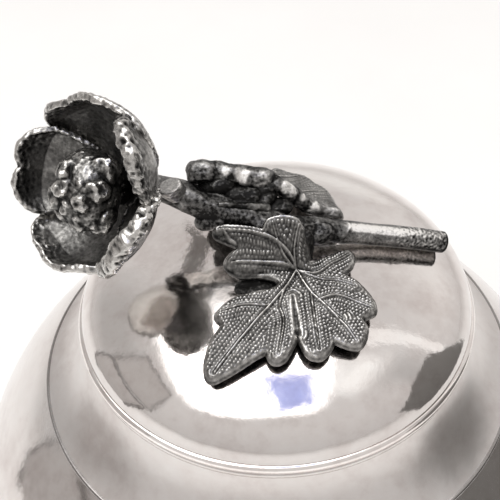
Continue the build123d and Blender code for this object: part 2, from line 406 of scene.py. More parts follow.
def polished_silver(name, dull=0.0, shade=1.0, foot=None):
    """Bright silver, thinly clouded, with fine wiping scratches and a softly uneven skin. `dull` adds to its
    roughness and `shade` scales its colour. `foot` gives two heights in metres between which it turns grey
    downwards, a painted shade that dims the bright floor's reflection low on the dome."""
    n = Nodes(name)
    cloud = n.noise(14, 4, 0.55)
    haze = n.noise(2.4, 5, 0.6)
    mixed = n.math("ADD", n.math("MULTIPLY", cloud, 0.65), n.math("MULTIPLY", haze, 0.35))
    tones = [(0.30, (0.72, 0.655, 0.63)), (0.5, (0.88, 0.835, 0.81)), (0.68, (0.93, 0.90, 0.88))]
    colour = n.ramp(mixed, [(at, tuple(min(1.0, shade * c) for c in tone)) for at, tone in tones])
    if foot:
        split = n.add("ShaderNodeSeparateXYZ")
        n.link(n.place, split.inputs[0])
        scaled = n.add("ShaderNodeVectorMath", operation="SCALE")
        n.link(colour, scaled.inputs[0])
        n.link(n.spread(split.outputs[2], foot[0], foot[1], 0.74, 1.0), scaled.inputs["Scale"])
        colour = scaled.outputs[0]
    rub = n.spread(n.noise(1.6, 4, 0.6, squeeze=(1, 0.12, 0.5)), 0.3, 0.7, 0.0, 0.05)
    n.metal(colour, n.math("ADD", n.spread(cloud, 0.3, 0.7, 0.05 + dull, 0.10 + dull), rub))
    swell = n.noise(22, 2, 0.45)
    ripple = n.noise(5, 2, 0.5)
    scratch = n.noise(0.5, 4, 0.7, squeeze=(1, 0.05, 0.3))
    pits = n.noise(1.1, 3, 0.6)
    n.bump([(swell, 0.8, 0.6), (ripple, 0.6, 0.10), (pits, 0.5, 0.03), (scratch, 0.14, 0.012)])
    return n.material


def oxidised_silver(name, bright, shine, grain):
    """Cast silver, black in its hollows and rubbed bright where it stands out, and lighter or darker where
    its relief carries painted light and shade. `shine` is the roughness of the bright parts, and `grain` how
    strongly small flecks break up the wear."""
    n = Nodes(name)
    height = n.spread(n.relief(), -0.05, 0.13, 0.0, 1.0)
    patch = n.noise(3.2, 4, 0.6)
    fleck = n.noise(0.45, 3, 0.65)
    worn = n.math("ADD", height, n.spread(patch, 0.3, 0.7, -0.14, 0.14))
    worn = n.math("ADD", worn, n.spread(fleck, 0.3, 0.7, -grain / 2, grain / 2), clamp=True)
    middle, light = (tuple(share * b for b in bright) for share in (0.22, 0.52))
    colour = n.ramp(worn, [(0.08, OXIDE), (0.46, middle), (0.74, light), (1.0, bright)])
    n.metal(colour, n.spread(worn, 0.1, 0.95, 0.46, shine))
    grit = n.noise(0.22, 2, 0.6)
    n.bump([(patch, 0.3, 0.10), (grit, 0.6, 0.035), (fleck, 0.35, 0.04)])
    return n.material


def fixing_brass(name):
    """Turned brass, dulled, with tool marks."""
    n = Nodes(name)
    tone = n.noise(1.8, 4, 0.6)
    colour = n.ramp(tone, [(0.3, (0.36, 0.23, 0.09)), (0.55, (0.62, 0.43, 0.18)), (0.75, (0.74, 0.55, 0.27))])
    n.metal(colour, n.spread(tone, 0.3, 0.7, 0.42, 0.24))
    n.bump([(n.noise(0.25, 3, 0.6, squeeze=(0.2, 0.2, 2.5)), 0.4, 0.03), (tone, 0.3, 0.05)])
    return n.material


# the dome's colour is painted darker low down, as shade on its reflection of the bright floor
silver = polished_silver("polished_silver", foot=(0.1045, 0.1095))
# the flange's silver is a lighter copy, as painted light on its bright rim
silver_flange_lit = polished_silver("polished_silver_flange", shade=1.08)
# a darker silver for the thin line at the shoulder
silver_line_dark = polished_silver("polished_silver_line_dark", dull=0.12, shade=0.42)
silver_satin = polished_silver("polished_silver_satin", dull=0.22, shade=0.84)
# the body's silver is a little rougher, and its colour a darker copy as painted shade on what it mirrors
silver_dull_shaded = polished_silver("polished_silver_body", dull=0.04, shade=0.83)
cast = oxidised_silver("oxidised_silver", (0.64, 0.625, 0.60), shine=0.22, grain=0.24)
cast_worn = oxidised_silver("oxidised_silver_worn", (0.95, 0.93, 0.90), shine=0.50, grain=0.34)
brass = fixing_brass("fixing_brass")


def finish_piece(piece, body, material, node):
    """Material, body, slot and the CAD node that the piece stands for."""
    piece.data.materials.clear()
    piece.data.materials.append(material)
    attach(piece, body)
    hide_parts(node)


def finish_casting(piece, node, material=cast):
    finish_piece(piece, "lid", material, node)


# ---------------------------------------------------------------- bowl and lid

# the CAD part's sizes
BELLY_RADIUS, BELLY_HEIGHT, BELLY_DEPTH = 62.3, 42.7, 37.0
SHEET, LID_SHEET = 1.2, 0.9
SHOULDER, LINE_TOP, NECK_TOP, MOUTH_TOP = 88.0, 88.9, 100.4, 102.1
FLANGE_BOTTOM, FLANGE_INNER, LID_BASE = 102.2, 31.0, 104.0
DOME_RADIUS, DOME_HEIGHT, STUD_HOLE = 34.3, 13.65, 1.7
FOOT_WIRE_TOP = 2.2
NECK = [(42.3, LINE_TOP), (37.0, 93.8), (34.0, NECK_TOP)]  # radius and height
COLLAR_GAP = 0.03  # the collar stops short of the flange, so that no faces coincide
BELLY_POINTS, DOME_POINTS = 60, 90  # on each of the belly's two arcs, and on the dome's


def belly_profile(inset):
    """From the axis underneath up to the shoulder."""
    radius, depth = BELLY_RADIUS - inset, BELLY_DEPTH - inset
    lower = [(radius * sin(a), BELLY_HEIGHT - depth * cos(a)) for a in np.linspace(0, pi / 2, BELLY_POINTS)]
    last = asin((SHOULDER - BELLY_HEIGHT) / radius)
    rise = np.linspace(0, last, BELLY_POINTS)[1:]
    upper = [(radius * cos(a), BELLY_HEIGHT + radius * sin(a)) for a in rise]
    return lower + upper


def dome_profile(inset):
    """From the flange up to the stud's hole."""
    a, b = DOME_RADIUS - inset, DOME_HEIGHT - inset
    last = acos(STUD_HOLE / a)
    return [(a * cos(t), LID_BASE + b * sin(t)) for t in np.linspace(0, last, DOME_POINTS)]


def turned_pieces():
    """The raised and turned silver, finer than the CAD nodes' facets, which would show in a mirror finish."""
    neck_inside = [(radius - SHEET, height) for radius, height in NECK]
    foot = arc3((32.0, FOOT_WIRE_TOP), (29.0, 5.2), (28.6, 10.4), 24)
    foot_inside = arc3((30.6, FOOT_WIRE_TOP), (27.6, 5.2), (27.2, 10.0), 24)
    made = {
        "bowl_body": belly_profile(0) + belly_profile(SHEET)[::-1],
        "shoulder_line": bead(41.2, 42.95, SHOULDER, LINE_TOP, 0.45),
        "neck": arc3(*NECK, 36) + arc3(*neck_inside, 36)[::-1],
        "mouth_rim": bead(32.4, 34.6, NECK_TOP, MOUTH_TOP, 0.85),
        "lid_flange": bead(FLANGE_INNER, 35.0, FLANGE_BOTTOM, LID_BASE, 0.9, 20),
        "lid_dome": dome_profile(0) + dome_profile(LID_SHEET)[::-1],
        "lid_locating_collar": bead(FLANGE_INNER, 32.0, 95.7, FLANGE_BOTTOM - COLLAR_GAP, 0.3),
        "foot": foot + foot_inside[::-1],
        "foot_wire": bead(30.0, 33.0, 0.0, FOOT_WIRE_TOP, 1.1, 20),
    }
    body_of = {"lid_flange": "lid", "lid_dome": "lid", "lid_locating_collar": "lid_seat"}
    skins = {
        "lid_flange": silver_flange_lit,
        "lid_dome": silver,
        "shoulder_line": silver_line_dark,
        "neck": silver_satin,
    }
    for node, profile in made.items():
        verts, faces = lathe(profile)
        piece = new_piece(node + "_silver", verts, faces, 35)
        finish_piece(piece, body_of.get(node, "bowl"), skins.get(node, silver_dull_shaded), node)


turned_pieces()


# ---------------------------------------------------------------- flower

BASE = np.array([-22.5, 4.9, 129.5])
AXIS = np.array([-0.63, -0.567, 0.53])
AXIS /= np.linalg.norm(AXIS)
UP = np.array([0.0, 0.719, 0.695])
UP -= AXIS * (UP @ AXIS)
UP /= np.linalg.norm(UP)
LEFT = np.cross(AXIS, UP)
FLOWER_FRAME = np.stack([LEFT, UP, AXIS])
ARC_R, ARC_H = 1.5, 14.0  # centre of the arc that the petals follow: off the flower's axis, over its base
PETAL_FOOT = -80  # degrees up that arc where every petal starts
RIM_DEGREE = 0.25  # about how many millimetres a degree is along a petal's rim


def cup_point(turn, angle, radius):
    """Points on the cup: turn round the axis from its upper side, angle up the arc, the arc's radius."""
    turn, angle = np.radians(turn), np.radians(angle)
    out = np.cos(turn)[..., None] * UP + np.sin(turn)[..., None] * LEFT
    return (
        BASE
        + AXIS * (ARC_H + radius * np.sin(angle))[..., None]
        + out * (ARC_R + radius * np.cos(angle))[..., None]
    )


# rim points: turn round the flower, angle up the arc, arc radius, half thickness of the rim
PETALS = {
    "flower_petal_top": [
        (52, -66, 12.5, 0.42), (47, -44, 12.5, 0.42), (43, -28, 12.6, 0.43), (36, -16, 12.8, 0.54),
        (26, -9, 12.8, 0.61), (16, -7, 12.6, 0.58), (6, -9, 12.4, 0.58), (-6, -6, 12.4, 0.61),
        (-18, -5, 12.7, 0.65), (-31, -8, 12.9, 0.61), (-45, -12, 13.1, 0.5), (-58, -18, 13.3, 0.43),
        (-68, -29, 13.3, 0.42), (-75, -46, 13.2, 0.42), (-80, -66, 13.1, 0.42),
    ],
    "flower_petal_left": [
        (122, -66, 11.3, 0.42), (114, -46, 11.3, 0.42), (109, -30, 11.4, 0.42), (103, -14, 11.7, 0.44),
        (93, -5, 12.1, 0.52), (82, -1, 12.3, 0.56), (75, -2, 12.2, 0.52), (71, -5, 12.1, 0.48),
        (66, -2, 12.2, 0.52), (57, -1, 12.2, 0.56), (46, -7, 12.0, 0.48), (37, -18, 11.6, 0.42),
        (31, -32, 11.4, 0.42), (26, -46, 11.4, 0.42), (20, -66, 11.4, 0.42),
    ],
    "flower_petal_bottom": [
        (196, -66, 12.6, 0.42), (192, -46, 12.6, 0.43), (187, -28, 12.4, 0.58), (178, -18, 12.2, 0.68),
        (166, -12, 12.2, 0.68), (154, -9, 12.5, 0.61), (143, -8, 12.9, 0.58), (133, -9, 13.1, 0.5),
        (123, -10, 13.3, 0.43), (113, -14, 13.4, 0.42), (105, -25, 13.4, 0.42), (99, -42, 13.4, 0.42),
        (94, -66, 13.4, 0.42),
    ],
    "flower_petal_lower_right": [
        (268, -66, 12.4, 0.5), (263, -44, 12.5, 0.6), (258, -24, 12.7, 0.9), (251, -9, 12.9, 1.15),
        (241, -2, 13.0, 1.35), (229, 2, 12.9, 1.45), (217, 2, 12.7, 1.4), (205, -1, 12.4, 1.25),
        (194, -9, 12.1, 1.0), (185, -22, 12.0, 0.7), (179, -42, 12.0, 0.5), (174, -66, 12.0, 0.5),
    ],
    "flower_petal_upper_right": [
        (331, -66, 11.9, 0.5), (328, -46, 12.1, 0.5), (323, -28, 12.5, 0.65), (316, -12, 12.7, 0.9),
        (305, -1, 12.8, 1.1), (293, 3, 12.8, 1.15), (281, 2, 12.8, 1.1), (269, -2, 12.5, 1.0),
        (258, -10, 12.0, 0.7), (250, -24, 11.6, 0.5), (245, -44, 11.3, 0.45), (242, -66, 11.1, 0.45),
    ],
}
# how much brighter a petal's rim is, where it isn't like most
RIM_TONES = {"flower_petal_upper_right": -0.035, "flower_petal_left": -0.005, "flower_petal_lower_right": 0.0}
# how much brighter the outside of a petal is where it looks down: painted light on its underside
UNDERSIDE_PAINTED_LIGHT = {"flower_petal_lower_right": -0.02}
# how far a petal's floor is pulled in, to leave its rim standing upright
CREASES = {"flower_petal_left": 1.5}


def petal(name, rim, seed):
    """One hammered petal: a thin cupped sheet with a thick, beaten rim."""
    across, along = 190, 96
    rows = np.array(rim, float)
    scaled = np.column_stack([rows[:, 0] * RIM_DEGREE, rows[:, 1] * RIM_DEGREE, np.zeros(len(rows)), rows])
    fine = curve_through(scaled, across)[:, 3:]
    turn, angle, radius, thick = fine.T
    middle = (rows[0, 0] + rows[-1, 0]) / 2
    v = np.linspace(0, 1, along)
    share = 1 - (1 - v) ** 1.25
    spread = 0.80 + 0.20 * smoothstep(0, 0.7, v)
    turns = middle + (turn - middle)[:, None] * spread[None, :]
    angles = PETAL_FOOT + (angle - PETAL_FOOT)[:, None] * share[None, :]
    centre_radius = radius.mean()
    radii = centre_radius + (radius - centre_radius)[:, None] * v[None, :] ** 1.5
    even = cup_point(turns, angles, radii).reshape(-1, 3)
    wave = lumpy(even, 6.0, seed).reshape(turns.shape) * 0.35
    fold = 0.22 * np.sin(np.radians(turns - middle) * 9 + seed) * v[None, :] ** 2
    crease = -24.0
    floor = np.clip((angles - PETAL_FOOT) / (crease - PETAL_FOOT), 0, 1)
    pulled = CREASES.get(name, 0.5) * np.sin(pi * floor) ** 0.9 * (angles < crease)
    radii = radii + wave + fold - pulled
    grid = cup_point(turns, angles, radii)
    normal = np.cross(np.gradient(grid, axis=0), np.gradient(grid, axis=1))
    normal /= np.linalg.norm(normal, axis=-1)[..., None]
    inward = AXIS * ARC_H + BASE - grid
    normal *= np.sign((normal * inward).sum(-1))[..., None]
    to_rim = (angle[:, None] - angles) * radians(1) * radii
    to_side = np.minimum(np.arange(across), np.arange(across)[::-1])[:, None] * 0.25 + 0.4
    near = np.minimum(to_rim, to_side * 2.5)
    base = 0.42 + 0.12 * (1 - v)[None, :]
    half = base + (thick[:, None] - base) * np.exp(-((near / 1.5) ** 2))
    verts, faces = shell(grid, normal, half, 12, 0.7)
    piece = new_piece(name + "_cast", verts, faces, 60)
    points = points_of(piece)
    to_edge = np.concatenate([near.ravel(), near.ravel(), np.zeros(len(points) - 2 * near.size)])
    rings = np.exp(-((to_edge / 1.9) ** 2))
    rough = smoothstep(0.5, 1.4, thick.max())
    marks = hammered(points, 1.7, seed)
    small = hammered(points, 0.75, seed + 5)
    amount = rings * (0.40 * (marks - 0.45) + 0.28 * (small - 0.5)) * (0.22 + 0.78 * rough)
    amount += (1 - rings) * 0.03 * (small - 0.5) + lumpy(points, 0.7, seed + 9) * (0.03 + 0.15 * rings)
    push(piece, amount)
    facing = normals_of(piece)
    outward = ((points - BASE - AXIS * 12) * facing).sum(1) > 0
    # painted light: the outside of a petal is made brighter where it faces down
    painted_underside = outward * (1 - rings) * smoothstep(0.1, -0.4, facing[:, 2])
    tone = RIM_TONES.get(name, 0.02) * rings + UNDERSIDE_PAINTED_LIGHT.get(name, 0.15) * painted_underside
    store_relief(piece, bias=0.026 + 0.014 * outward + tone)
    finish_casting(piece, name)


for number, (petal_name, petal_rim) in enumerate(PETALS.items()):
    petal(petal_name, petal_rim, 3.1 * number + 1)


def flower_place(across, up, height):
    """A point in the flower: to its left, upwards, and along its axis."""
    return BASE + LEFT * across + UP * up + AXIS * height


STAMENS = 15
STAMEN_REACH = 4.8  # how far the outermost knob is from the flower's axis
GOLDEN_ANGLE = 2.39996  # radians from one knob to the next


def stamens():
    """Curled knobs on short stalks, crowded on a round core."""
    shapes = []
    for k in range(STAMENS):
        t = (k + 0.5) / STAMENS
        reach = STAMEN_REACH * sqrt(t)
        a = GOLDEN_ANGLE * k + 0.5
        height = 13.0 - 4.4 * t**1.3 + 0.6 * sin(5.1 * k)
        size = 2.1 + 0.35 * sin(2.7 * k + 1)
        centre = flower_place(reach * cos(a) * 0.94 + 0.6, reach * sin(a) * 1.12 - 0.5, height)
        facing = Vector(centre - flower_place(0, 0, 4.5)).normalized()
        verts, faces = ball((0, 0, 0), (1, 1, 1), rows=22, sides=30)
        polar = np.degrees(np.arccos(np.clip(verts[:, 2], -1, 1)))
        around = np.arctan2(verts[:, 1], verts[:, 0])
        curl = polar - 38 - 9 * np.sin(around * 2 + k)
        rim = 0.06 * np.exp(-((curl / 10) ** 2)) * (1 + 1.0 * np.cos(around - k))
        pit = -0.03 * np.exp(-((polar / 22) ** 2))
        waist = -0.07 * np.exp(-(((polar - 110) / 20) ** 2))
        lumps = 0.34 * lumpy(verts, 0.8, 7.0 * k)
        verts = verts * (1 + rim + pit + waist + lumps)[:, None] * (size, size, size * 1.25)
        turn = np.array(facing.to_track_quat("Z", "Y").to_matrix())
        shapes.append((verts @ turn.T + centre, faces))
        foot = flower_place(reach * cos(a) * 0.35, reach * sin(a) * 0.35, 3.6)
        filament = curve_through([foot, 0.4 * foot + 0.6 * centre, centre], 14)
        shapes.append(tube(filament, np.linspace(0.5, 0.42, 14), 10))
    core, polygons = ball((0, 0, 0), (5.5, 6.7, 4.9), rows=20, sides=30)
    shapes.append((core @ FLOWER_FRAME + flower_place(0.5, -0.5, 9.95), polygons))
    piece = fused("flower_stamens_cast", shapes, 0.13, 2)
    points = points_of(piece)
    push(piece, 0.10 * lumpy(points, 0.7, 2) + 0.05 * lumpy(points, 0.3, 5))
    store_relief(piece, radius=0.6, bias=0.010)
    finish_casting(piece, "flower_stamens")


def flower_turning(node, profile, segments, sharp, roughness, cell, seed):
    """A turned shape on the flower's axis, its surface uneven: radius and height over the flower's base."""
    verts, faces = lathe(profile, segments)
    piece = new_piece(node + "_cast", verts @ FLOWER_FRAME + BASE, faces, sharp)
    push(piece, roughness * lumpy(points_of(piece), cell, seed))
    store_relief(piece)
    finish_casting(piece, node)


# from its foot up to a swollen tip
PISTIL = [(0, 3.2), (1.7, 3.2), (1.5, 5), (1.35, 8), (1.9, 10), (2.0, 11.0), (1.4, 11.9), (0, 12.2)]
# the collar behind the petals, and the stub that carries the pistil
RECEPTACLE = [
    (0, -2.6), (1.6, -2.6), (2.5, -2.3), (3.6, -1.2), (4.5, -0.3), (4.2, 0.0), (3.1, 0.0), (3.1, 3.4),
    (0, 3.4),
]

stamens()
flower_turning("flower_pistil", PISTIL, 48, 40, 0.15, 0.9, 6)
flower_turning("flower_receptacle", RECEPTACLE, 64, 50, 0.25, 1.6, 3)


# ---------------------------------------------------------------- stem and stalks

# the stem's middle line from its cut end to the flower: x, y, z, radius
STEM_LINE = [
    (29.1, 3.72, 113.5, 1.92), (26.1, 2.9, 115.1, 1.92), (21.6, 2.2, 116.85, 1.92),
    (17.2, 1.8, 118.1, 1.92), (12.9, 1.3, 119.5, 1.95), (7.8, 0.8, 120.9, 2.0), (2.0, 0.0, 123.0, 2.1),
    (-4.0, 0.2, 124.7, 2.3), (-9.0, 1.4, 126.3, 2.5), (-13.0, 2.6, 127.6, 2.5),
    (-17.4, 4.0, 128.8, 2.15), (-22.0, 4.9, 129.4, 1.95),
]
STEM_END = np.array(STEM_LINE[0][:3])
STEM_OUT = STEM_END - np.array(STEM_LINE[1][:3])
STEM_OUT /= np.linalg.norm(STEM_OUT)
# a pruned twig on the stem's upper side, near the flower, with an oval cut across it
TWIG = [(-15.9, 3.0, 128.6), (-16.2, 2.1, 130.2), (-16.6, 1.4, 132.6)]
TWIG_RADIUS = 1.85
TWIG_CUT = np.array([-16.5, 1.5, 131.9])
TWIG_FACING = np.array([-0.22, 0.06, 0.97])
TWIG_FACING /= np.linalg.norm(TWIG_FACING)
# swellings: centre, half sizes, turn
STEM_LUMPS = [
    ((-9.5, 0.4, 125.3), (3.6, 2.2, 1.9), -0.3),
    ((-4.5, -0.6, 123.8), (3.4, 2.0, 1.7), -0.25),
    ((2.4, -0.8, 122.4), (3.0, 1.9, 1.8), -0.2),
    ((7.6, -0.2, 121.0), (2.6, 1.9, 1.9), -0.2),
]


def flatten_cuts(points):
    """Flattens the stem's sawn end, and the twig's cut with its slightly raised lip."""
    beyond = (points - STEM_END) @ STEM_OUT
    points = points - np.outer(np.maximum(beyond - 0.15, 0) * 0.94, STEM_OUT)
    offset = points - TWIG_CUT
    height = offset @ TWIG_FACING
    flat = np.linalg.norm(offset - np.outer(height, TWIG_FACING), axis=1)
    face = 0.06 * np.exp(-(((flat - 1.6) / 0.25) ** 2)) - 0.05 * np.exp(-(flat**2))
    inside = (flat < 2.8) & (height > -0.2)
    points[inside] += TWIG_FACING * (face - np.maximum(height, 0) * 0.92)[inside, None]
    return points


def stem_tones(points, facing):
    """How much brighter each place on the stem is: polished towards its sawn end, with a painted highlight
    along its upper side and painted light on its upper half and its underside, darker on the sawn end face,
    and dark in the bark.
    """
    x, up = points[:, 0], facing[:, 2]
    polished = smoothstep(11.0, 14.5, x)
    # painted highlight: a band along the stem's upper side, fading towards its sawn end
    upper = smoothstep(0.80, 0.94, facing @ np.array([-0.05, -0.30, 0.95]))
    fading = 1 - 0.45 * smoothstep(18.5, 22.0, x)
    specks = 0.11 * lumpy(points, 0.4, 12) * smoothstep(19.0, 22.5, x) * smoothstep(-0.3, 0.1, up)
    end_face = -0.12 * smoothstep(-0.5, 0.1, (points - STEM_END) @ STEM_OUT)
    # the upper half is painted lighter, as light from above
    polish_and_painted_light = 0.19 * upper * fading + 0.045 * smoothstep(-0.2, 0.1, up) + specks + end_face - 0.040
    bark = -0.045 * smoothstep(-15.0, -11.0, x) * smoothstep(17.0, 13.0, x)
    cut_face = 0.05 * (np.linalg.norm(points - TWIG_CUT, axis=1) < 1.9)
    # painted light on the stem's underside
    painted_underside_light = 0.12 * smoothstep(-0.2, -0.7, up)
    return polished * polish_and_painted_light + bark * (1 - polished) + cut_face + painted_underside_light


def stem():
    line = curve_through(STEM_LINE, 150)
    shapes = [tube(line[:, :3], line[:, 3], 40)]
    shapes.append(tube(curve_through(TWIG, 12), [TWIG_RADIUS] * 12, 24))
    shapes.extend(ball(*lump) for lump in STEM_LUMPS)
    piece = fused("stem_cast", shapes, 0.17, 2)
    points = points_of(piece)
    polished = smoothstep(11.0, 14.5, points[:, 0])
    bark = 0.42 * lumpy(points * (0.5, 1, 1), 2.2, 1) + 0.07 * lumpy(points, 0.6, 8)
    bark += 0.35 * (hammered(points * (0.6, 1, 1), 2.8, 2) - 0.5)
    dots = 0.05 * lumpy(points, 0.5, 5) * smoothstep(20.0, 24.0, points[:, 0])
    drawn = 0.05 * lumpy(points * (0.35, 1, 1), 1.6, 6)
    push(piece, bark * (1 - polished) + (drawn + dots) * polished)
    points = flatten_cuts(points_of(piece))
    set_points(piece, points)
    store_relief(piece, bias=stem_tones(points, normals_of(piece)))
    finish_casting(piece, "stem", cast_worn)


stem()


# x, y, z, radius, how much brighter
STALK_PATCHES = [
    (-7.8, 0.2, 130.1, 1.2, 0.13), (-2.2, 0.6, 127.0, 2.0, 0.06), (-13.0, 1.0, 128.5, 2.0, 0.05),
]


def patches(points, places):
    """Places on a casting made brighter: rubbed wear, and painted highlights on the back leaf's edge."""
    total = 0
    for x, y, z, radius, amount in places:
        away = np.linalg.norm(points - (x, y, z), axis=1)
        total = total + amount * np.exp(-((away / radius) ** 4))
    return total


def stalk(node, tubes, lumps, seed):
    """A leaf's stalk from tubes (line, first and last radius, points, sides) and egg-shaped lumps."""
    shapes = []
    for line, radii, count, sides in tubes:
        shapes.append(tube(curve_through(line, count), np.linspace(*radii, count), sides))
    shapes.extend(ball(*lump) for lump in lumps)
    piece = fused(node + "_cast", shapes, 0.17, 2)
    points = points_of(piece)
    marks = 0.15 * (hammered(points, 2.0, seed) - 0.5)
    push(piece, 0.35 * lumpy(points, 2.4, seed) + marks + 0.07 * lumpy(points, 0.5, seed))
    store_relief(piece, bias=patches(points, STALK_PATCHES) - 0.075)
    finish_casting(piece, node)


# a dead twig that lies along the back leaf's stalk
BACK_TWIG = [(-8.6, 0.2, 128.6), (-6.0, 0.4, 128.0), (-3.2, 0.8, 126.8), (-1.2, 1.4, 125.8)]

stalk(
    "front_leaf_stalk",
    [([(5.2, -0.8, 121.6), (4.8, -4.0, 119.6), (4.2, -7.4, 118.7)], (1.7, 1.2), 16, 20)],
    [
        ((0.5, -2.5, 120.6), (3.6, 1.8, 1.5), -0.2),
        ((-4.2, -2.0, 121.6), (3.2, 1.6, 1.6), -0.2),
        ((-2.6, -9.2, 118.3), (4.6, 2.2, 0.8)),
    ],
    3,
)
stalk(
    "back_leaf_stalk",
    [
        ([(-4.0, 0.6, 124.9), (-3.0, 4.2, 125.7), (-2.2, 7.6, 125.9)], (1.7, 1.4), 16, 20),
        (BACK_TWIG, (0.55, 0.95), 20, 14),
    ],
    [
        ((-6.0, 3.4, 126.6), (4.6, 2.6, 2.2), -0.25),
        ((-4.6, 4.4, 126.7), (6.0, 1.8, 1.4), -0.30),
        ((-9.5, 4.6, 128.2), (3.6, 2.2, 2.0), -0.3),
        ((0.5, 2.8, 124.4), (3.2, 1.9, 1.7), -0.25),
        ((-2.3, 3.6, 125.8), (3.4, 2.2, 1.8), -0.3),
    ],
    11,
)


# ---------------------------------------------------------------- leaves

OUTLINE_STEP = 0.12
BEAD_ROWS = 0.60  # from one row of beads to the next
BEAD_PITCH = 0.57  # from one bead to the next in a row


def in_plane(points):
    """Plan points with a height of zero."""
    return np.column_stack([np.array(points, float), np.zeros(len(points))])


def rounded_outline(lobes):
    """The leaf's edge as a closed line: a curve round each lobe, and a sharp notch between two."""
    line = []
    for lobe, following in zip(lobes, lobes[1:] + lobes[:1]):
        points = in_plane(lobe + following[:1])
        length = np.linalg.norm(np.diff(points, axis=0), axis=1).sum()
        line.append(curve_through(points, max(int(length / OUTLINE_STEP), 3))[:-1, :2])
    return np.concatenate(line)


def distance_to_line(points, line, closed=True):
    """For each point: distance to a polyline, nearest place, which segment, and the share along it."""
    ends = np.roll(line, -1, 0) if closed else line[1:]
    starts = line if closed else line[:-1]
    run = ends - starts
    length2 = np.maximum((run**2).sum(1), 1e-12)
    best = np.full(len(points), 1e9)
    which = np.zeros(len(points), int)
    share = np.zeros(len(points))
    for first in range(0, len(starts), 64):
        block = slice(first, first + 64)
        offset = points[:, None] - starts[None, block]
        t = np.clip((offset * run[None, block]).sum(-1) / length2[None, block], 0, 1)
        gap = ((offset - t[..., None] * run[None, block]) ** 2).sum(-1)
        pick = gap.argmin(1)
        value = gap[np.arange(len(points)), pick]
        closer = value < best
        best[closer] = value[closer]
        which[closer] = pick[closer] + first
        share[closer] = t[np.arange(len(points)), pick][closer]
    nearest = starts[which] + share[:, None] * run[which]
    return np.sqrt(best), nearest, which, share


def inside_line(points, line):
    """Whether each point lies inside a closed polyline."""
    x, y = points[:, 0], points[:, 1]
    result = np.zeros(len(points), bool)
    for (ax, ay), (bx, by) in zip(line, np.roll(line, -1, 0)):
        if ay == by:
            continue
        crosses = (ay > y) != (by > y)
        result ^= crosses & (x < (bx - ax) * (y - ay) / (by - ay) + ax)
    return result


def vein_pattern(points, veins):
    """Height of the veins, size of the beads in rows beside them, and distance to the nearest vein."""
    nearest = np.full(len(points), 1e9)
    along, across, ridge = np.zeros((3, len(points)))
    for number, (line, width, height) in enumerate(veins):
        fine = curve_through(in_plane(line), 60)[:, :2]
        gap, place, which, share = distance_to_line(points, fine, closed=False)
        run = fine[np.minimum(which + 1, len(fine) - 1)] - fine[which]
        side = np.sign(run[:, 0] * (points - place)[:, 1] - run[:, 1] * (points - place)[:, 0])
        steps = np.concatenate([[0], np.cumsum(np.linalg.norm(np.diff(fine, axis=0), axis=1))])
        place_along = steps[which] + share * (steps[1] - steps[0])
        taper = 1 - 0.55 * place_along / steps[-1]
        wide = width * taper
        bank = -0.10 if height > 0 else 0.09
        profile = height * taper * np.exp(-((gap / wide) ** 2))
        profile += bank * np.exp(-(((gap - 2.1 * wide) / wide) ** 2))
        ridge = np.where(np.abs(profile) > np.abs(ridge), profile, ridge)
        gap = np.maximum(gap - 0.5, 0) if height < 0 else gap
        closer = gap < nearest
        nearest = np.where(closer, gap, nearest)
        along = np.where(closer, place_along + 0.37 * number, along)
        across = np.where(closer, gap * side, across)
    spots = in_plane(points)
    row = np.abs(across + 0.13 * lumpy(spots, 1.3, 3)) / BEAD_ROWS
    which_row = np.floor(row)
    in_row = np.cos(pi * (row - which_row - 0.5)) ** 2
    pitch = (along + 0.30 * lumpy(spots, 1.1, 8)) / BEAD_PITCH + 0.5 * (which_row % 2)
    in_pitch = np.cos(pi * (pitch - np.floor(pitch) - 0.5)) ** 2
    beads = (in_row * in_pitch) ** 0.75 * smoothstep(0.25, 0.55, nearest) * (1 + 0.5 * lumpy(spots, 0.8, 5))
    return ridge, beads, nearest


def trimmed(keep):
    """Grid cells without those that hang on by a corner or a single side."""
    for _ in range(4):
        padded = np.pad(keep, 1)
        sides = padded[:-2, 1:-1].astype(int) + padded[2:, 1:-1] + padded[1:-1, :-2] + padded[1:-1, 2:]
        keep &= sides >= 2
        padded = np.pad(keep, 1)
        here, east, north, both = padded[1:, 1:], padded[:-1, 1:], padded[1:, :-1], padded[:-1, :-1]
        pinch = (here & both & ~east & ~north) | (~here & ~both & east & north)
        for i, j in zip(*np.nonzero(pinch)):
            keep[max(i - 1, 0) : i + 1, max(j - 1, 0) : j + 1] = False
    return keep


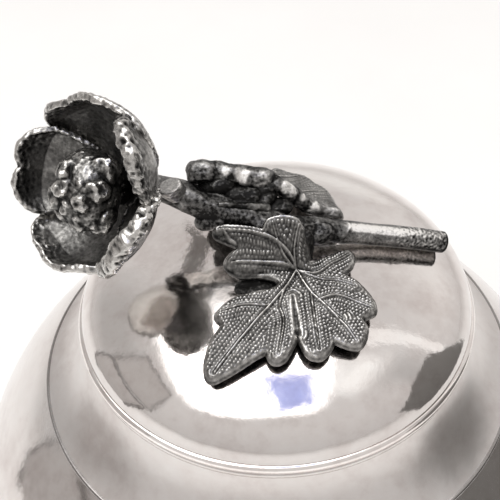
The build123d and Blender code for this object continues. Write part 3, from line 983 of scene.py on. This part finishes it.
def leaf_plan(edge, step):
    """Squares that fill a closed outline, their edge snapped to it.
    Returns the plan points, the squares, and for each point on the edge the next one round it."""
    low, high = edge.min(0) - step, edge.max(0) + step
    xs = np.arange(low[0], high[0], step)
    ys = np.arange(low[1], high[1], step)
    gx, gy = np.meshgrid(xs, ys, indexing="ij")
    centres = np.column_stack([(gx[:-1, :-1] + step / 2).ravel(), (gy[:-1, :-1] + step / 2).ravel()])
    keep = trimmed(inside_line(centres, edge).reshape(len(xs) - 1, len(ys) - 1))
    index = np.arange(gx.size).reshape(gx.shape)
    i, j = np.nonzero(keep)
    quads = np.stack([index[i, j], index[i + 1, j], index[i + 1, j + 1], index[i, j + 1]], -1)
    used, flat = np.unique(quads, return_inverse=True)
    quads = flat.reshape(-1, 4)
    plan = np.column_stack([gx.ravel(), gy.ravel()])[used]
    sides = np.concatenate([quads[:, [0, 1]], quads[:, [1, 2]], quads[:, [2, 3]], quads[:, [3, 0]]])
    code = sides[:, 0] * len(plan) + sides[:, 1]
    opposite = sides[:, 1] * len(plan) + sides[:, 0]
    border = sides[~np.isin(code, opposite)]
    following = dict(border.tolist())
    before = {b: a for a, b in following.items()}
    rim = np.unique(border)
    plan[rim] = distance_to_line(plan[rim], edge)[1]
    ahead = np.array([following[v] for v in rim])
    behind = np.array([before[v] for v in rim])
    # ease the squares next to the snapped edge
    neighbours = np.concatenate([sides, sides[:, ::-1]])
    count = np.bincount(neighbours[:, 0], minlength=len(plan))
    soft = np.zeros(len(plan), bool)
    soft[neighbours[np.isin(neighbours[:, 1], rim), 0]] = True
    soft[rim] = False
    for _ in range(3):
        total = [np.bincount(neighbours[:, 0], weights=plan[neighbours[:, 1], k]) for k in (0, 1)]
        mean = np.stack(total, 1) / count[:, None]
        plan[soft] = 0.5 * plan[soft] + 0.5 * mean[soft]
        plan[rim] = 0.6 * plan[rim] + 0.2 * plan[ahead] + 0.2 * plan[behind]
    return plan, quads, following


def leaf_wall(plan, top, bottom, following):
    """The slightly bulging wall between the leaf's two skins, as points and faces."""
    layers, bulge = 6, 0.20
    loop = np.array(list(following))
    position = {v: k for k, v in enumerate(loop.tolist())}
    ahead = np.array([position[following[v]] for v in loop.tolist()])
    behind = np.argsort(ahead)
    outward = plan[loop[ahead]] - plan[loop]
    outward = np.column_stack([outward[:, 1], -outward[:, 0]])
    outward /= np.maximum(np.linalg.norm(outward, axis=1), 1e-9)[:, None]
    outward = outward + outward[behind]
    outward /= np.maximum(np.linalg.norm(outward, axis=1), 1e-9)[:, None]
    rings, faces, previous = [], [], loop
    for k in range(1, layers + 1):
        share = k / layers
        if k < layers:
            flat = plan[loop] + outward * bulge * sin(pi * share) ** 0.6
            rings.append(np.column_stack([flat, top[loop] * (1 - share) + bottom[loop] * share]))
            now = np.arange(len(loop)) + 2 * len(plan) + (k - 1) * len(loop)
        else:
            now = loop + len(plan)
        faces.append(np.stack([previous[ahead], previous, now, now[ahead]], -1))
        previous = now
    return rings, faces


def leaf(node, outline, veins, surface, place, thickness, step, seed, beading, edge_round, beaten, brightness):
    """A cast leaf over a plan outline. `surface` gives the top's height at each plan point, and `place` turns
    plan points and heights into the row frame. `beading` is the height of the beads, `beaten` the depth of
    the marks on the wall and the back, and `brightness` says how much brighter each place is; the
    underside is painted darker as shade."""
    edge = rounded_outline(outline)
    plan, quads, following = leaf_plan(edge, step)
    gap = distance_to_line(plan, edge)[0]
    ridge, beads, vein_gap = vein_pattern(plan, veins)
    inner = smoothstep(0.25, 0.7, gap)
    top = surface(plan) + ridge + (beading * beads + 0.30 * np.exp(-vein_gap / 1.6)) * inner
    top -= edge_round * 0.5 * (1 - np.sqrt(1 - np.clip(1 - gap / (0.55 * edge_round), 0, 1) ** 2))
    bottom = surface(plan) - thickness + 0.14 * np.exp(-((gap / 0.5) ** 2))
    rings, walls = leaf_wall(plan, top, bottom, following)
    verts = np.concatenate([np.column_stack([plan, top]), np.column_stack([plan, bottom]), *rings])
    faces = np.concatenate([quads, quads[:, ::-1] + len(plan), *walls]).tolist()
    piece = new_piece(node + "_cast", place(verts), faces, 70)
    wall = np.ones(len(verts))
    wall[: len(plan)] = 1 - smoothstep(0.1, 0.6, gap)
    wall[len(plan) : 2 * len(plan)] = 0.6
    points = points_of(piece)
    amount = wall * (beaten * (hammered(points, 3.2, seed) - 0.5) + 0.06 * lumpy(points, 0.7, seed))
    amount += (1 - wall) * 0.04 * lumpy(points, 0.45, seed + 2)
    push(piece, amount)
    # painted shade: the leaf's underside is made darker
    painted_underside = np.arange(len(verts)) >= len(plan)
    store_relief(piece, bias=brightness(points) - 0.045 * painted_underside)
    finish_casting(piece, node)


# plan of the front leaf's lobes, each from one notch to the next: x, y
FRONT_OUTLINE = [
    [(5.4, -6.6), (7.6, -5.0), (10.2, -3.5), (12.3, -2.8), (13.2, -3.8), (12.7, -5.8)],
    [(11.2, -8.0), (13.1, -9.2), (14.6, -11.0), (15.7, -13.6), (15.5, -15.1)],
    [(13.6, -16.3), (14.0, -17.9), (13.5, -19.9), (12.5, -21.2), (10.9, -21.3)],
    [(8.4, -20.5), (7.8, -21.8), (6.3, -23.1), (4.4, -22.8), (3.3, -21.2)],
    [(2.75, -19.3), (2.2, -21.0), (0.9, -22.9), (-0.6, -23.7), (-1.8, -23.1)],
    [
        (-2.4, -21.8), (-4.0, -22.6), (-7.2, -24.2), (-10.4, -25.4),
        (-11.9, -24.8), (-12.1, -22.5), (-11.0, -19.2),
    ],
    [
        (-9.3, -16.7), (-10.2, -15.1), (-9.8, -13.8), (-7.2, -12.0),
        (-3.8, -11.2), (-1.2, -10.9), (0.2, -9.9),
    ],
    [(-0.2, -9.2), (-1.4, -8.7), (-3.4, -8.2), (-6.2, -7.9), (-8.3, -6.9), (-7.9, -6.0)],
    [(-6.1, -5.3), (-7.6, -4.6), (-9.6, -3.9), (-9.7, -3.1), (-7.6, -2.9), (-4.4, -3.4)],
    [(-1.9, -3.9), (-0.9, -3.0), (1.9, -2.7), (4.6, -3.4), (5.5, -5.0)],
]

JOINT = (3.3, -8.0)  # where the front leaf's main veins meet
# line, width, height
FRONT_VEINS = [
    ([JOINT, (1.0, -11.6), (-3.5, -16.7), (-10.6, -24.4)], 0.24, 0.34),
    ([JOINT, (4.9, -11.4), (8.0, -15.1), (9.9, -16.8)], 0.22, 0.32),
    ([(8.0, -15.1), (10.2, -17.8), (12.0, -20.4)], 0.16, 0.20),
    ([(6.4, -13.6), (10.0, -12.6), (14.9, -14.5)], 0.18, 0.26),
    ([JOINT, (6.4, -8.4), (9.4, -6.2), (12.3, -4.0)], 0.18, 0.26),
    ([JOINT, (6.8, -9.4), (9.6, -9.6), (12.6, -10.6)], 0.15, 0.18),
    ([(5.4, -12.4), (5.6, -16.8), (6.0, -21.9)], 0.15, 0.20),
    ([(1.2, -11.4), (0.2, -14.4), (0.7, -17.3), (-0.4, -22.6)], 0.16, 0.22),
    ([(-1.2, -14.2), (-5.2, -13.9), (-9.4, -14.2)], 0.16, 0.22),
    ([JOINT, (1.6, -7.4), (-3.0, -7.0), (-7.2, -6.8)], 0.16, 0.22),
    ([JOINT, (2.2, -6.4), (-1.6, -4.6), (-8.9, -3.4)], 0.20, 0.30),
    ([JOINT, (1.4, -6.6), (0.4, -5.0), (-0.2, -3.5)], 0.16, 0.26),
    ([JOINT, (3.1, -6.2), (3.6, -4.6), (4.2, -3.6)], 0.16, 0.26),
    ([(-6.5, -5.0), (-7.4, -4.4), (-8.5, -3.2)], 0.20, 0.26),
    ([(2.75, -19.3), (2.6, -16.5), (2.4, -13.0)], 0.40, -0.24),  # the slot between the two middle lobes
]

# how the front leaf falls along the dome: y, height
FRONT_FALL = [
    (-28.5, 113.9), (-27.5, 114.6), (-25.0, 116.15), (-22.4, 117.5), (-18.4, 118.75),
    (-14.4, 119.5), (-11.4, 120.05), (-8.5, 120.4), (-6.0, 120.6), (0.0, 120.8),
]


def front_surface(plan):
    """Height of the front leaf's top: it lies down the dome, and its back lobes stand up to the stem."""
    x, y = plan[:, 0], plan[:, 1]
    down = np.interp(y, *zip(*FRONT_FALL)) - 0.0072 * x**2
    rise = 1.5 * np.maximum(y + 8.0, 0) * (1 - smoothstep(3.8, 7.4, x))
    rise = rise * (1 - 0.10 * smoothstep(-2.0, -9.0, x))
    ripple = 0.16 * np.sin(0.9 * x + 0.4) * np.sin(0.8 * y)
    return down + rise + ripple


def front_rubbed_and_shaded(points):
    """The front leaf is rubbed bright, except the lobes that stand up behind, which are left darker as
    painted shade.
    """
    # painted shade on the lobes that stand up behind
    standing = smoothstep(-11.0, -3.0, points[:, 1]) * (1 - smoothstep(4.0, 8.0, points[:, 0]))
    return 0.030 * (1 - standing)


leaf(
    "front_leaf",
    FRONT_OUTLINE,
    FRONT_VEINS,
    front_surface,
    place=lambda verts: verts,
    thickness=1.25,
    step=0.115,
    seed=4.0,
    beading=0.25,
    edge_round=0.8,
    beaten=0.10,
    brightness=front_rubbed_and_shaded,
)

# the back leaf's own axes: along it, back from its front edge, and out of its upper side
BACK_ORIGIN = np.array([-1.0, 6.5, 127.0])
BACK_X = np.array([0.95, -0.05, -0.30])
BACK_X /= np.linalg.norm(BACK_X)
BACK_Z = np.array([0.24, 0.50, 0.83])
BACK_Z -= BACK_X * (BACK_Z @ BACK_X)
BACK_Z /= np.linalg.norm(BACK_Z)
BACK_Y = np.cross(BACK_Z, BACK_X)

# plan of the back leaf's lobes: along the leaf, back from its front edge
BACK_OUTLINE = [
    [(1.6, -0.2), (4.2, 0.6), (7.4, 0.7)],
    [(9.2, 1.0), (11.4, 0.7), (13.8, 0.6), (14.9, 1.6), (14.8, 3.4)],
    [(14.0, 5.2), (13.8, 7.2), (12.4, 9.3)],
    [(10.8, 9.8), (9.6, 10.9), (7.4, 11.3), (5.4, 10.0)],
    [(4.4, 9.3), (3.0, 8.2), (1.6, 7.0)],
    [(0.7, 7.2), (-0.6, 9.8), (-3.0, 12.0), (-5.2, 12.0)],
    [(-6.6, 10.2), (-8.6, 10.6), (-11.0, 9.0), (-11.6, 6.6)],
    [
        (-10.9, 5.2), (-12.2, 4.6), (-12.8, 2.6), (-12.7, 0.6),
        (-12.2, -0.5), (-9.0, -1.2), (-5.0, -0.9), (-1.0, -1.4),
    ],
]

BACK_VEINS = [
    ([(0.0, 1.0), (-6.0, 1.4), (-12.6, 1.6)], 0.2, 0.26),
    ([(0.0, 1.0), (-5.5, 4.4), (-10.4, 7.6)], 0.2, 0.26),
    ([(0.0, 1.0), (-1.8, 6.0), (-3.8, 11.2)], 0.2, 0.28),
    ([(0.0, 1.0), (3.4, 5.0), (7.6, 10.4)], 0.16, 0.14),
    ([(0.0, 1.0), (6.2, 3.6), (12.4, 7.6)], 0.16, 0.14),
    ([(0.0, 1.0), (6.5, 1.8), (13.0, 1.6)], 0.16, 0.14),
]

# how the back leaf rises and falls along its length: x, height
BACK_RISE = [
    (-14.0, 0.1), (-9.5, 0.7), (-5.3, 1.0), (-2.5, 0.7), (0.0, 0.0), (3.2, -1.1), (7.4, -2.6), (10.5, -3.0),
    (14.0, -3.3),
]


def back_surface(plan):
    """Height of the back leaf's top: its left lobes droop backwards, and its right ones stand up."""
    x, y = plan[:, 0], plan[:, 1]
    right = smoothstep(-0.5, 2.5, x)
    line = np.interp(x, *zip(*BACK_RISE))
    back = np.maximum(y, 0)
    bend = -0.034 * back**2 * (1 - right) + right * (0.36 * back - 0.006 * back**2)
    return line + bend + 0.15 * np.sin(0.8 * x)


def back_place(verts):
    return BACK_ORIGIN + verts[:, :1] * BACK_X + verts[:, 1:2] * BACK_Y + verts[:, 2:] * BACK_Z


# the thick rolled front edge: x, y, z, radius
BACK_EDGE = [
    (-12.6, 6.0, 131.0, 1.6), (-9.6, 6.0, 130.5, 1.75), (-6.6, 6.0, 129.9, 1.65),
    (-3.6, 6.0, 129.3, 1.6), (-1.0, 6.0, 128.7, 1.4), (1.6, 5.6, 126.9, 1.35), (4.0, 5.4, 124.7, 1.35),
    (6.6, 5.3, 122.0, 1.3), (9.4, 5.3, 120.8, 1.05), (11.6, 5.2, 119.9, 0.7),
]
BLOCKINESS = 0.72  # 1 leaves the lumps below round, and less squares them
# lumps along that edge: x, y, z, half sizes, turn
BACK_BLOCKS = [
    (-11.4, 5.7, 130.9, 2.5, 2.0, 1.95, 0.02), (-7.4, 5.9, 130.1, 2.9, 1.9, 1.6, -0.15),
    (-2.7, 5.7, 129.1, 3.1, 1.9, 1.65, -0.12), (2.1, 5.2, 126.7, 2.9, 1.6, 1.35, -0.74),
    (6.6, 5.3, 121.8, 2.3, 1.4, 1.2, -0.50), (9.6, 5.3, 120.7, 2.4, 1.2, 1.0, -0.25),
]
# x, y, z, radius, how much brighter: painted highlights on the blocks' tops, and rubbed places
BACK_PAINTED_HIGHLIGHTS = [
    (-10.9, 5.6, 131.9, 1.1, 0.13), (-12.4, 5.2, 131.2, 0.8, 0.08), (-7.3, 5.0, 131.4, 0.8, 0.16),
    (-4.7, 4.6, 131.0, 1.2, 0.16), (-4.9, 4.4, 129.8, 0.8, 0.12), (-1.6, 4.5, 129.6, 1.6, 0.05),
    (0.6, 5.0, 128.2, 0.7, 0.15), (2.6, 4.3, 127.9, 1.2, 0.18), (3.5, 4.3, 126.7, 0.9, 0.12),
    (5.3, 4.6, 124.9, 0.7, 0.12), (6.9, 4.7, 122.3, 1.1, 0.18), (9.8, 4.8, 121.4, 1.6, 0.06),
]


def back_leaf_edge():
    """The back leaf's front edge, rolled thick and beaten into blocks."""
    path = curve_through(BACK_EDGE, 130)
    shapes = [tube(path[:, :3], path[:, 3], 28)]
    for x, y, z, long, deep, high, turn in BACK_BLOCKS:
        verts, faces = ball((0, 0, 0), (1, 1, 1), rows=24, sides=32)
        verts = np.sign(verts) * np.abs(verts) ** BLOCKINESS * (long, deep, high)
        along = np.array([cos(turn), 0, sin(turn)])
        across = np.array([0.0, 0.82, -0.57]) if turn < 0 else np.array([0.0, 0.7, -0.7])
        across -= along * (across @ along)
        across /= np.linalg.norm(across)
        shapes.append((verts @ np.stack([along, across, np.cross(along, across)]) + (x, y, z), faces))
    piece = fused("back_leaf_edge_cast", shapes, 0.15, 3)
    points = points_of(piece)
    uneven = 0.20 * lumpy(points, 1.5, 2) + 0.07 * lumpy(points, 0.5, 4)
    push(piece, 0.18 * (hammered(points, 3.0, 5) - 0.5) + uneven)
    # painted highlights and rubbed places on the blocks
    store_relief(piece, radius=0.45, bias=1.15 * patches(points, BACK_PAINTED_HIGHLIGHTS) - 0.05)
    finish_casting(piece, "back_leaf", cast_worn)


leaf(
    "back_leaf",
    BACK_OUTLINE,
    BACK_VEINS,
    back_surface,
    place=back_place,
    thickness=1.3,
    step=0.13,
    seed=9.0,
    beading=0.10,
    edge_round=1.2,
    beaten=0.15,
    brightness=lambda points: 0.038,
)
back_leaf_edge()


# ---------------------------------------------------------------- carried-over CAD nodes

CARRIED_OVER = {"finial_boss": cast, "finial_stud": brass, "finial_washer": brass, "finial_nut": brass}
for node, material in CARRIED_OVER.items():
    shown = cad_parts[node]
    shown.data.materials.clear()
    shown.data.materials.append(material)


# ---------------------------------------------------------------- floor, light and camera

LID_CENTRE = (0, 0, 0.112)  # in metres


def floor_material():
    n = Nodes("floor")
    cloud = n.noise(60, 4, 0.5)
    colour = n.ramp(cloud, [(0.3, (0.90, 0.895, 0.885)), (0.7, (0.93, 0.925, 0.915))])
    n.link(colour, n.shader.inputs["Base Color"])
    n.shader.inputs["Roughness"].default_value = 0.75
    n.bump([(n.noise(1.5, 4), 0.1, 0.05)])
    return n.material


def rectangle(name, width, depth):
    """A flat rectangle round its own origin, in millimetres."""
    corners = [(i * width / 2, j * depth / 2, 0) for i, j in ((-1, -1), (1, -1), (1, 1), (-1, 1))]
    return new_piece(name, corners, [[0, 1, 2, 3]])


def aim(thing, place, target, axis):
    """Puts a thing at a place with one of its axes pointing at the target."""
    thing.location = place
    thing.rotation_mode = "QUATERNION"
    thing.rotation_quaternion = (Vector(target) - Vector(place)).to_track_quat(axis, "Y")


def make_floor():
    floor = rectangle("floor", 5000, 5000)
    floor.data.materials.append(floor_material())


def glow(name, colour, strength, half=None, soft=0.0):
    """Plain light. Given a card's half sizes, it fades over the last `soft` metres of them."""
    n = Nodes(name)
    n.tree.nodes.remove(n.shader)
    emission = n.add("ShaderNodeEmission")
    emission.inputs["Color"].default_value = (*colour, 1)
    emission.inputs["Strength"].default_value = strength
    shown = emission.outputs[0]
    if half:
        split = n.add("ShaderNodeSeparateXYZ")
        n.link(n.place, split.inputs[0])
        from_middle = [n.math("ABSOLUTE", split.outputs[k]) for k in (0, 1)]
        fades = [n.spread(x, edge - soft, edge, 1.0, 0.0) for x, edge in zip(from_middle, half)]
        mix = n.add("ShaderNodeMixShader")
        n.link(n.math("MULTIPLY", fades[0], fades[1]), mix.inputs[0])
        n.link(n.add("ShaderNodeBsdfTransparent").outputs[0], mix.inputs[1])
        n.link(shown, mix.inputs[2])
        shown = mix.outputs[0]
    output = next(node for node in n.tree.nodes if node.bl_idname == "ShaderNodeOutputMaterial")
    n.link(shown, output.inputs["Surface"])
    return n.material


def heading(azimuth, elevation, distance):
    """A point round the lid, azimuth from the back towards the right."""
    a, e = radians(azimuth), radians(elevation)
    return Vector((sin(a) * cos(e), cos(a) * cos(e), sin(e))) * distance + Vector(LID_CENTRE) / MM


def only_reflected(piece):
    piece.visible_camera = False
    piece.visible_shadow = False
    piece.visible_diffuse = False


def board(name, headings, distance, colour, strength):
    """A flat board round the object that only reflections see, from its corners' headings."""
    corners = [list(heading(a, e, distance)) for a, e in headings]
    count = len(corners) // 2
    faces = [[k, k + 1, 2 * count - 2 - k, 2 * count - 1 - k] for k in range(count - 1)]
    piece = new_piece(name, corners, faces)
    piece.data.materials.append(glow(name, colour, strength))
    only_reflected(piece)


def window(name, headings, distance, bar):
    """A bare frame of four bars, seen only in reflections. `bar` is their width as a share of the way in."""
    corners = [heading(a, e, distance) for a, e in headings]
    middle = sum(corners, Vector()) / 4
    inner = [c + (middle - c) * bar for c in corners]
    faces = [[k, (k + 1) % 4, 4 + (k + 1) % 4, 4 + k] for k in range(4)]
    piece = new_piece(name, [list(c) for c in corners + inner], faces)
    piece.data.materials.append(glow(name, FRAME_COLOUR, FRAME_STRENGTH))
    only_reflected(piece)


def soft_card(name, place, target, size, soft, colour, strength):
    """A light with soft edges, seen only in reflections. All in metres."""
    piece = rectangle(name, size[0] / MM, size[1] / MM)
    aim(piece, place, target, "Z")
    piece.data.materials.append(glow(name, colour, strength, (size[0] / 2, size[1] / 2), soft))
    only_reflected(piece)


def area(name, place, target, size, power):
    """A square lamp that reflections don't see."""
    light = bpy.data.lights.new(name, "AREA")
    light.shape = "SQUARE"
    light.size = size
    light.energy = power
    lamp = bpy.data.objects.new(name, light)
    aim(lamp, place, target, "-Z")
    lamp.visible_glossy = False
    scene.collection.objects.link(lamp)


# soft cards round the lid: name, direction and distance, size and softness in metres, colour, strength
CARDS = [
    ("side_card", (110, 60, 600), (0.34, 0.26), 0.10, (1, 0.99, 0.97), 1.05),
    ("low_card", (101, 34, 560), (0.22, 0.34), 0.09, (1, 0.97, 0.95), 0.50),
    ("left_wall", (-66, 22, 660), (0.62, 0.62), 0.2, (1, 0.965, 0.94), 0.46),
    ("right_wall", (50, 22, 660), (0.80, 0.66), 0.3, (1, 0.97, 0.945), 0.84),
    ("back_wall", (13, 5, 660), (0.46, 0.26), 0.1, (1, 0.98, 0.955), 0.84),
    ("sky", (170, 72, 500), (0.21, 0.26), 0.05, (0.50, 0.56, 1.0), 0.98),
]
# corners of the window and door frames and of the boards: azimuth and elevation
WINDOW = [(-82, 15), (-81, 42), (-114, 40), (-115, 4)]
DOOR = [(-75, -16), (-91, -39), (-112, 3), (-83, 14)]
SCREEN = [(71, -30), (71, -42), (76, -50), (98, -44), (124, 3), (110, 22), (93, 26), (91, 2)]
POST = [(-20, 25), (-23, 36), (-30, 42), (-38, 45), (-35, 51), (-27, 48), (-21, 43), (-16, 38)]
STRIP = [(62, 62), (71, 47), (78, 34), (84, 11), (83, -12), (88, -7), (89, 14), (85, 35), (81, 47), (76, 60)]
FRAME_COLOUR, GLASS_COLOUR, DARK_COLOUR = (0.9, 0.82, 0.78), (0.95, 0.90, 0.87), (0.9, 0.86, 0.82)
FRAME_STRENGTH, DARK_STRENGTH = 0.13, 0.20


def make_light():
    world = bpy.data.worlds.new("studio")
    world.use_nodes = True
    background = world.node_tree.nodes["Background"]
    background.inputs["Color"].default_value = (1.0, 0.965, 0.945, 1)
    background.inputs["Strength"].default_value = 0.66
    scene.world = world
    area("key", (-0.10, -0.10, 0.74), (-0.10, -0.10, 0.0), 0.7, 4.0)
    above = (-0.16, -0.06, 0.74)
    soft_card("key_card", above, (-0.16, -0.06, 0.0), (0.82, 0.84), 0.15, (1.0, 0.99, 0.98), 3.3)
    for name, direction, size, soft, colour, strength in CARDS:
        soft_card(name, heading(*direction) * MM, LID_CENTRE, size, soft, colour, strength)
    window("window_left", WINDOW, 420, 0.08)
    board("window_left_pane", WINDOW, 440, GLASS_COLOUR, 0.50)
    window("door_left", DOOR, 300, 0.11)
    board("door_left_pane", DOOR, 340, GLASS_COLOUR, 0.54)
    board("screen_right", SCREEN, 300, DARK_COLOUR, DARK_STRENGTH)
    board("post_left", POST, 400, DARK_COLOUR, DARK_STRENGTH)
    board("strip_right", STRIP, 600, (1.0, 0.98, 0.96), 1.0)


def make_camera():
    target = Vector((-4.06, 6.5, 111.0)) * MM
    place = Vector((-4.06, -140.77, 263.49)) * MM
    back = (place - target).normalized()
    camera = bpy.data.cameras.new("camera")
    camera.lens = 86.4
    camera.sensor_width = 36.0
    camera.clip_start = 0.01
    shot = bpy.data.objects.new("camera", camera)
    shot.rotation_mode = "QUATERNION"
    shot.location = place
    shot.rotation_quaternion = back.to_track_quat("Z", "Y") @ Quaternion((0, 0, 1), radians(-2.87))
    scene.collection.objects.link(shot)
    scene.camera = shot


make_floor()
make_light()
make_camera()
scene.view_settings.view_transform = "Standard"
